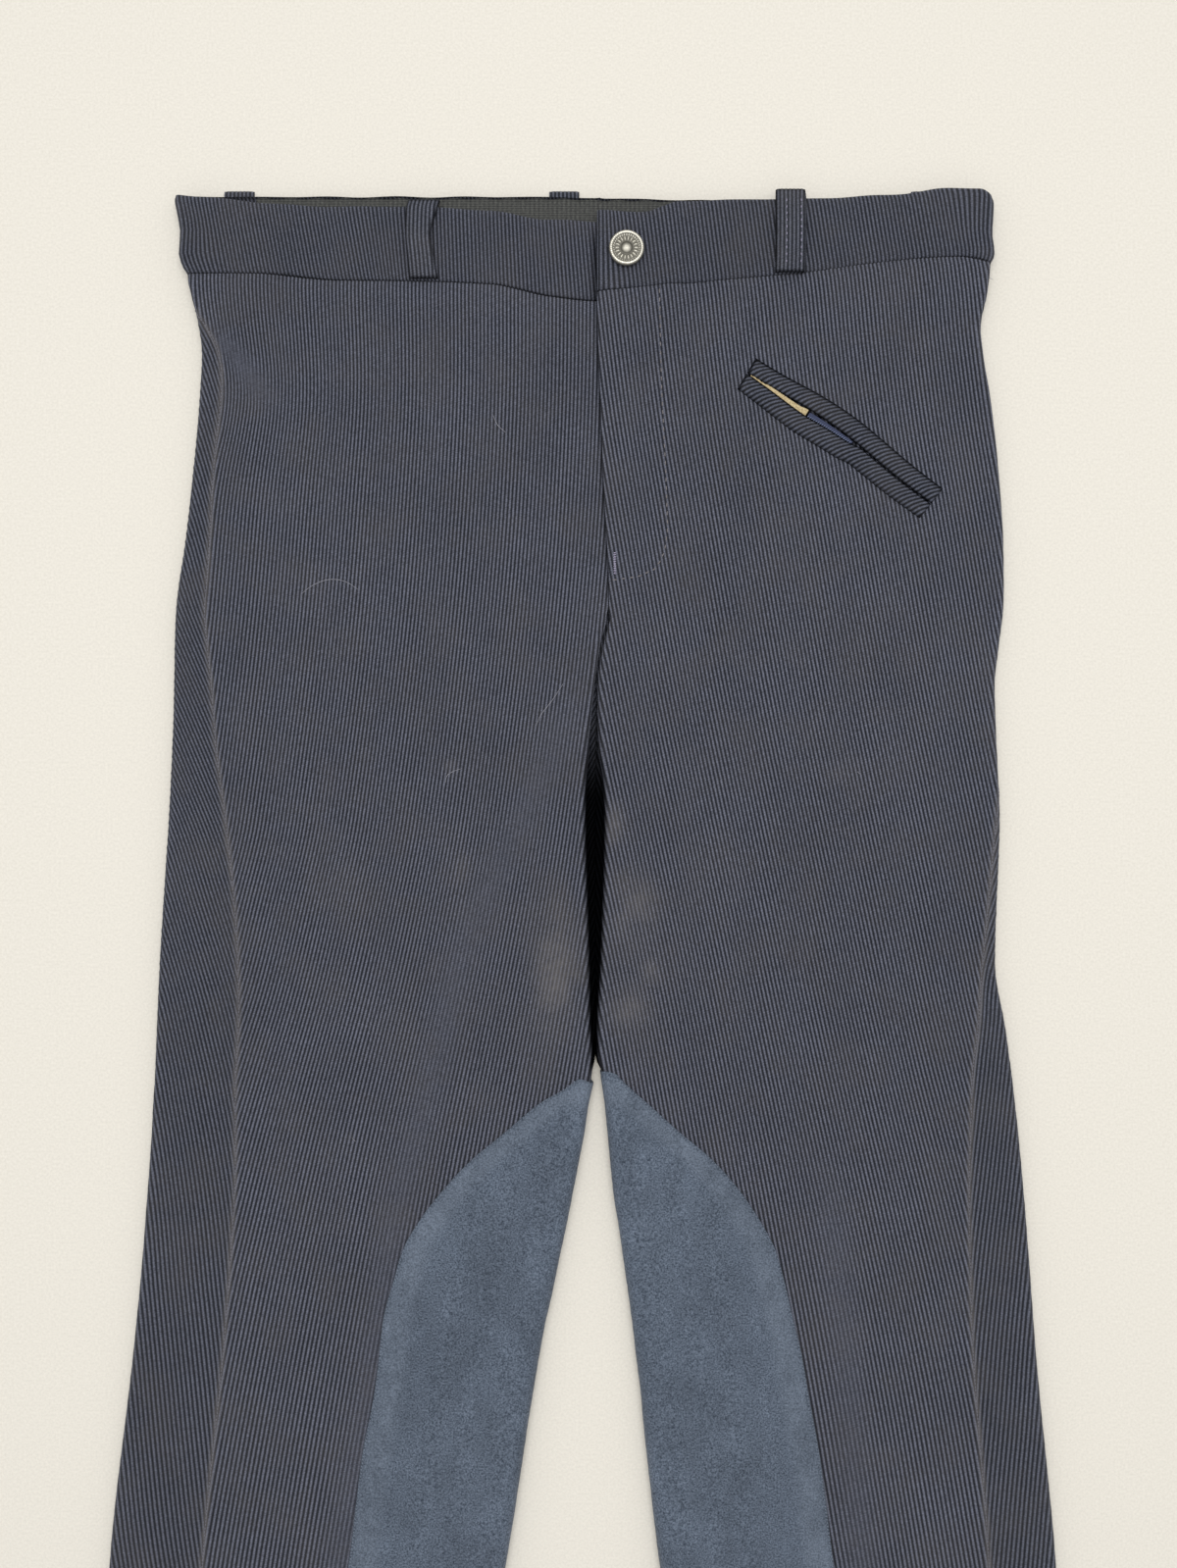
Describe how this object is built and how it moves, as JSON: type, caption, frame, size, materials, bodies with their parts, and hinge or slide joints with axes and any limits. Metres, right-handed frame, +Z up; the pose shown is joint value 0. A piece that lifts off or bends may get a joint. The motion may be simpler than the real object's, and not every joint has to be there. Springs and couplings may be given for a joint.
{
  "type": "riding breeches",
  "caption": "Riding breeches laid flat, front up: tapered rib cloth legs, suede knee patches, waistband with belt loops and tack button, and a slanted welt pocket.",
  "frame": {"origin": "middle of the underside's box, on the surface the breeches lie on", "axes": "+X to the wearer's left, +Y up the garment toward the waist, +Z up out of the surface"},
  "size_m": [0.4682, 0.955, 0.013],
  "materials": {
    "rib_cloth": "vertical rib, matt",
    "suede": "brushed nap",
    "elastic": "coarse crosswise weave",
    "tape": "frayed cotton",
    "overlock_thread": "looped stitches",
    "pewter": "antique, rubbed bright on the rim"
  },
  "bodies": {
    "root": {"front_left": "rib_cloth", "front_right": "rib_cloth", "back_left": "rib_cloth", "back_right": "rib_cloth", "waistband_left": "rib_cloth", "waistband_right": "rib_cloth", "waistband_elastic": "elastic", "knee_patch_left": "suede", "knee_patch_right": "suede", "belt_loop_front_left": "rib_cloth", "belt_loop_front_right": "rib_cloth", "belt_loop_back_left": "rib_cloth", "belt_loop_back_centre": "rib_cloth", "belt_loop_back_right": "rib_cloth", "pocket_welt_upper": "rib_cloth", "pocket_welt_lower": "rib_cloth", "pocket_tape": "tape", "pocket_serged_edge": "overlock_thread", "button_cap": "pewter"}
  },
  "joints": []
}
